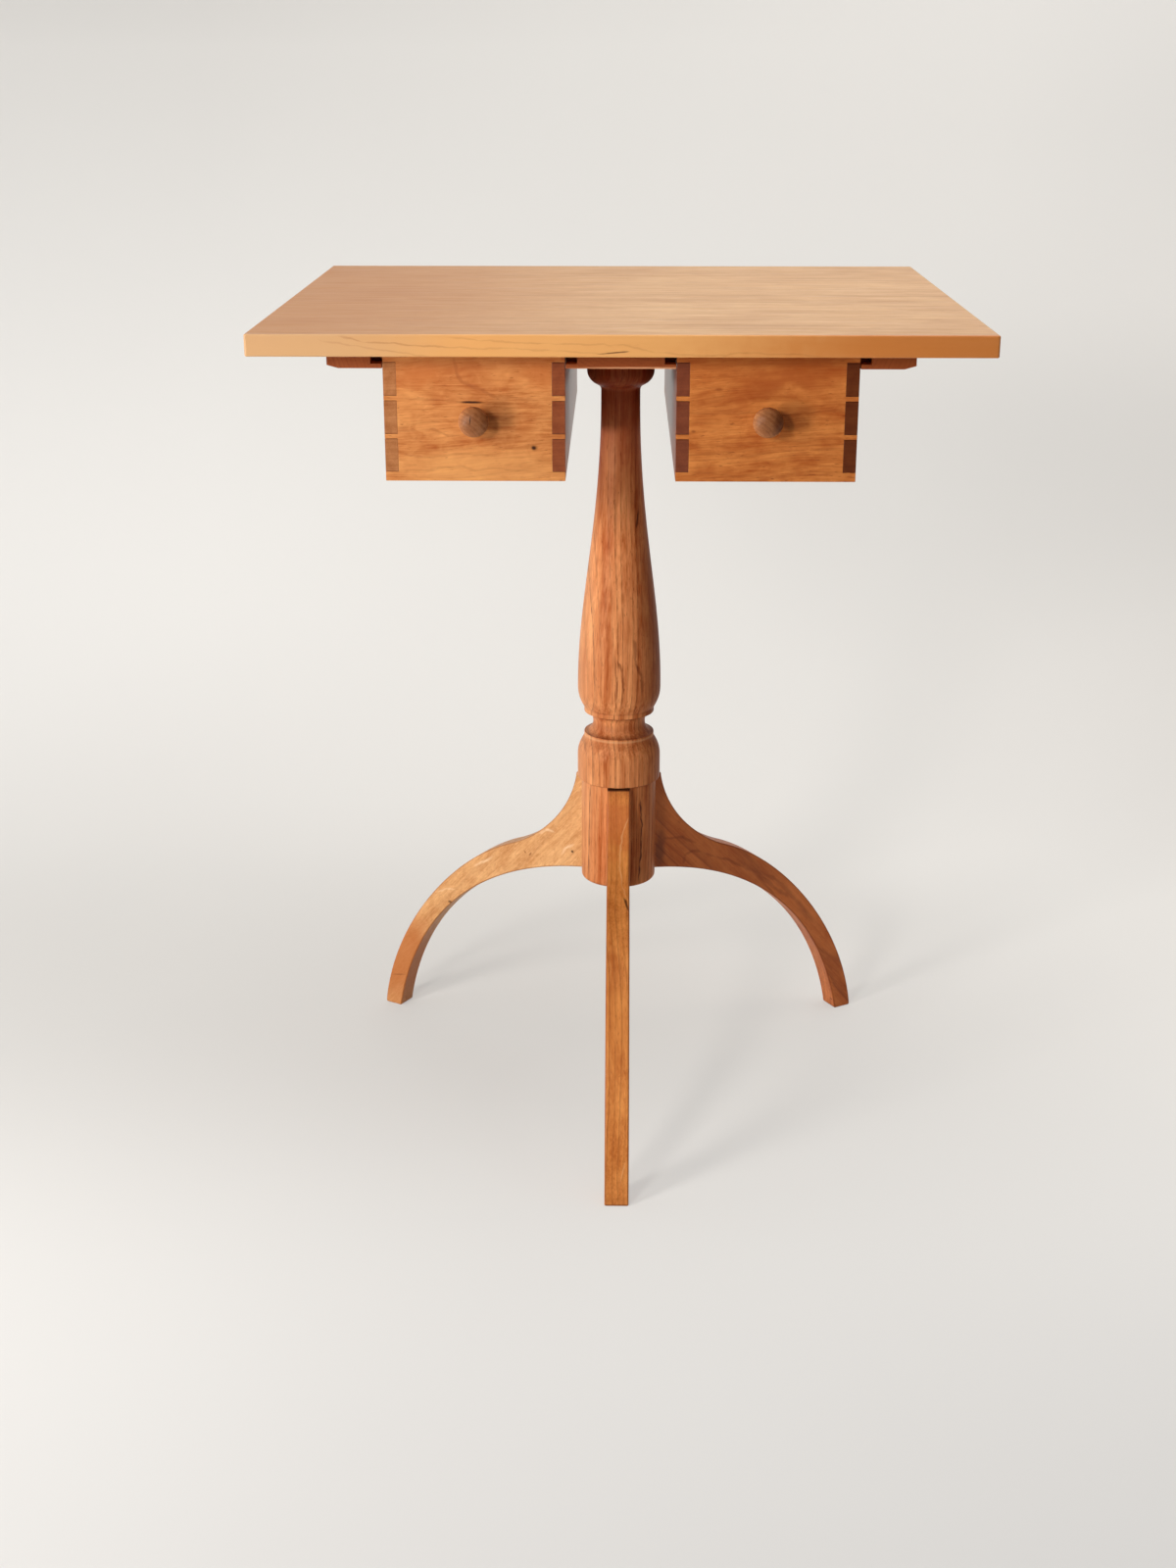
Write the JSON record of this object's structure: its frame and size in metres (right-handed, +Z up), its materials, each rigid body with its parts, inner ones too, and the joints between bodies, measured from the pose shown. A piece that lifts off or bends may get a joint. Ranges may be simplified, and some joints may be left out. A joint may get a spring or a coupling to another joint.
{
  "type": "sewing stand",
  "caption": "Small pedestal stand with a flat oblong top, under-hung dovetailed drawers that slide out to the front or the back, a turned column and curved legs.",
  "frame": {"origin": "on the floor, under the middle of the stand's outline", "axes": "+Z up, -Y to the front foot, +X to the right drawer"},
  "size_m": [0.508, 0.4734, 0.6604],
  "materials": {
    "cherry": "satin oil",
    "cherry_top": "satin oil",
    "cherry_column": "satin oil",
    "cherry_runner": "dull oil",
    "walnut": "satin oil",
    "poplar": "bare, planed",
    "brass": "dull, turned"
  },
  "bodies": {
    "stand": {"table_top": "cherry_top", "centre_runner": "cherry_runner", "left_outer_runner": "cherry_runner", "right_outer_runner": "cherry_runner", "column": "cherry_column", "tenon_wedge": "walnut", "front_leg": "cherry", "left_leg": "cherry", "right_leg": "cherry", "left_runner_screw_1": "brass", "left_runner_screw_2": "brass", "left_runner_screw_3": "brass", "right_runner_screw_1": "brass", "right_runner_screw_2": "brass", "right_runner_screw_3": "brass", "centre_runner_screw_1": "brass", "centre_runner_screw_2": "brass", "centre_runner_screw_3": "brass", "centre_runner_screw_4": "brass"},
    "left_drawer": {"left_drawer_front": "cherry", "left_drawer_back": "cherry", "left_drawer_inner_side": "walnut", "left_drawer_outer_side": "walnut", "left_drawer_bottom": "poplar", "left_drawer_inner_flange": "cherry_runner", "left_drawer_outer_flange": "cherry_runner", "left_front_knob": "walnut", "left_back_knob": "walnut"},
    "right_drawer": {"right_drawer_front": "cherry", "right_drawer_back": "cherry", "right_drawer_inner_side": "walnut", "right_drawer_outer_side": "walnut", "right_drawer_bottom": "poplar", "right_drawer_inner_flange": "cherry_runner", "right_drawer_outer_flange": "cherry_runner", "right_front_knob": "walnut", "right_back_knob": "walnut"}
  },
  "joints": [
    {"name": "left_drawer_slide", "type": "slide", "parent": "stand", "child": "left_drawer", "axis": [0, -1, 0], "range_m": [-0.26, 0.26]},
    {"name": "right_drawer_slide", "type": "slide", "parent": "stand", "child": "right_drawer", "axis": [0, -1, 0], "range_m": [-0.26, 0.26]}
  ]
}
